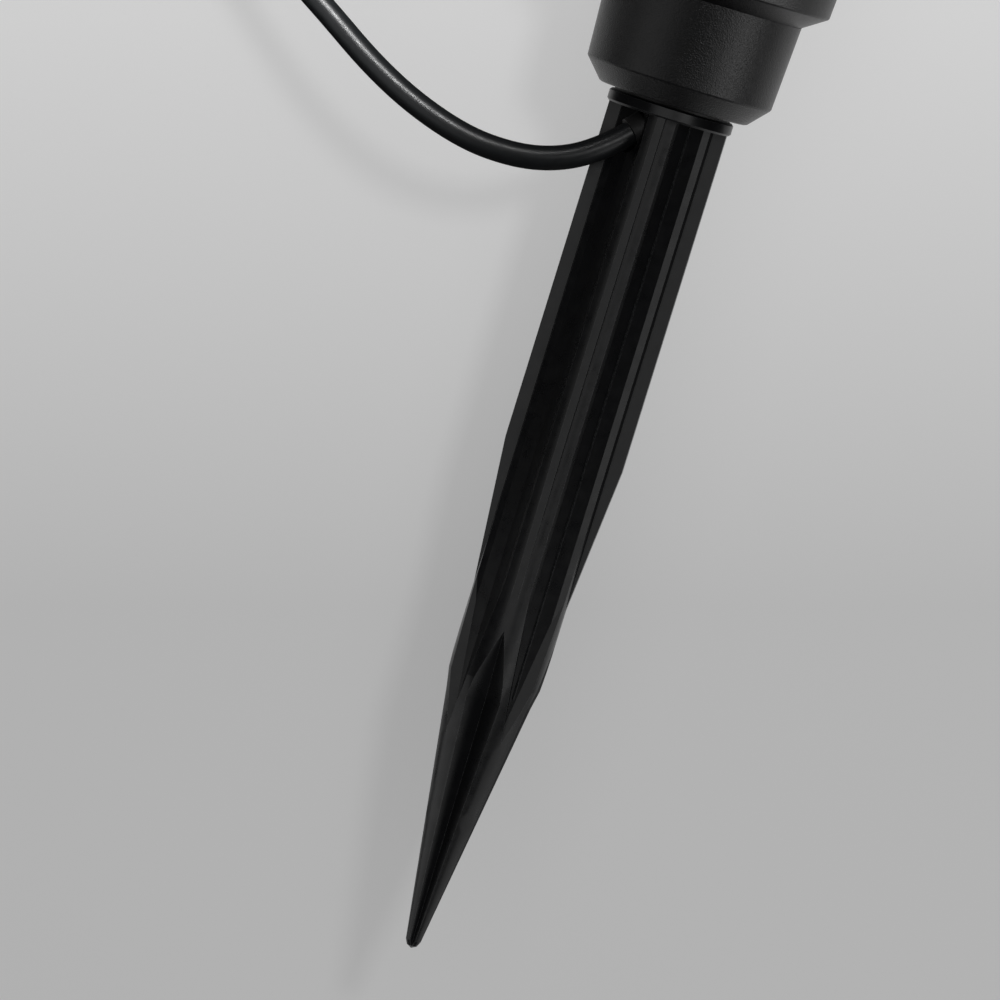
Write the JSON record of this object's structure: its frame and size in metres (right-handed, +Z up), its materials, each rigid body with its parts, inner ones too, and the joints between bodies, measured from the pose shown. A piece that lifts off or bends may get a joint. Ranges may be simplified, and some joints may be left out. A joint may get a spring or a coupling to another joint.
{
  "type": "light projector stake",
  "caption": "Garden light projector on a fluted ground stake, with a panning base, tilting head, focus ring and mains lead; lying on its side.",
  "frame": {"origin": "on the floor below the centre of the lying product's length, cord left out", "axes": "+Y along the stake from its tip to the head, +Z up from the floor that the head lies on, +X to the right seen from above with the head up"},
  "size_m": [0.2023, 0.424, 0.0854],
  "materials": {
    "stake_plastic": "semi-matte moulded black",
    "textured_plastic": "fine spark-eroded matte black",
    "smooth_plastic": "satin black",
    "knob_plastic": "satin black",
    "inner_plastic": "natural nylon",
    "seal_rubber": "matte",
    "cable_jacket": "satin black",
    "plug_rubber": "satin black",
    "button_rubber": "matte",
    "tie_plastic": "satin black",
    "pin_metal": "nickel plated",
    "steel": "zinc plated",
    "aluminium": "plain cast",
    "glass": "clear",
    "film": "printed clear film",
    "circuit_board": "solder mask",
    "led_white": "phosphor",
    "potting": "potted resin",
    "component_case": "moulded parts"
  },
  "bodies": {
    "stake_base": {"ground_stake": "stake_plastic", "flange_seal": "seal_rubber", "base_cup": "textured_plastic", "spigot_nut": "inner_plastic", "cable_grommet": "seal_rubber", "strain_stop": "inner_plastic", "inner_cable": "cable_jacket", "power_cable": "cable_jacket", "cable_coil": "cable_jacket", "cable_tail": "cable_jacket", "cable_tie": "tie_plastic", "plug_relief": "plug_rubber", "plug_body": "plug_rubber", "plug_pins": "pin_metal"},
    "turret": {"turret_housing": "textured_plastic", "retaining_ring": "steel", "wave_washer": "steel", "yoke": "textured_plastic", "yoke_screws": "steel", "tilt_bolt": "steel", "friction_washers": "inner_plastic", "spring_washer": "steel"},
    "knob": {"tilt_knob": "knob_plastic"},
    "head": {"rear_housing": "textured_plastic", "housing_seal": "seal_rubber", "front_housing": "textured_plastic", "housing_screws": "steel", "front_bezel": "smooth_plastic", "heat_sink": "aluminium", "standoffs": "steel", "led_board": "circuit_board", "led_chip": "led_white", "condenser_holder": "inner_plastic", "condenser_lens": "glass", "chassis_plate": "aluminium", "wheel_motor": "steel", "lens_barrel": "smooth_plastic", "glass_seal": "seal_rubber", "front_glass": "glass", "glass_retainer": "smooth_plastic", "power_module": "potting", "driver_board": "circuit_board", "driver_parts": "component_case", "switch_board": "circuit_board", "mode_switch": "component_case"},
    "wheel": {"pattern_wheel": "inner_plastic", "pattern_film": "film"},
    "focus": {"focus_ring": "smooth_plastic"},
    "cell": {"focus_cell": "smooth_plastic", "projection_lens": "glass"},
    "button": {"mode_button": "button_rubber"}
  },
  "joints": [
    {"name": "pan", "type": "hinge", "parent": "stake_base", "child": "turret", "pos_m": [0, 0.036, 0.042], "axis": [0, -1, 0], "range_deg": [-90, 90]},
    {"name": "tilt", "type": "hinge", "parent": "turret", "child": "head", "pos_m": [0, 0.098, 0.042], "axis": [0, 0, -1], "range_deg": [0, 90]},
    {"name": "knob_turn", "type": "hinge", "parent": "turret", "child": "knob", "pos_m": [0, 0.098, 0.042], "axis": [0, 0, 1], "range_deg": [0, 180]},
    {"name": "wheel_spin", "type": "hinge", "parent": "head", "child": "wheel", "pos_m": [-0.013, 0.17, 0.029], "axis": [0, 1, 0], "continuous": true},
    {"name": "focus_turn", "type": "hinge", "parent": "head", "child": "focus", "pos_m": [0, 0.204, 0.042], "axis": [0, 1, 0], "range_deg": [0, 120]},
    {"name": "focus_slide", "type": "slide", "parent": "head", "child": "cell", "axis": [0, 1, 0], "range_m": [0, 0.0041]},
    {"name": "button_press", "type": "slide", "parent": "head", "child": "button", "axis": [0, 0, -1], "range_m": [0, 0.0012], "stiffness_N_per_m": 800}
  ],
  "couplings": [
    {"joint": "focus_slide", "follows": "focus_turn", "m_per_rad": 0.0019099}
  ]
}
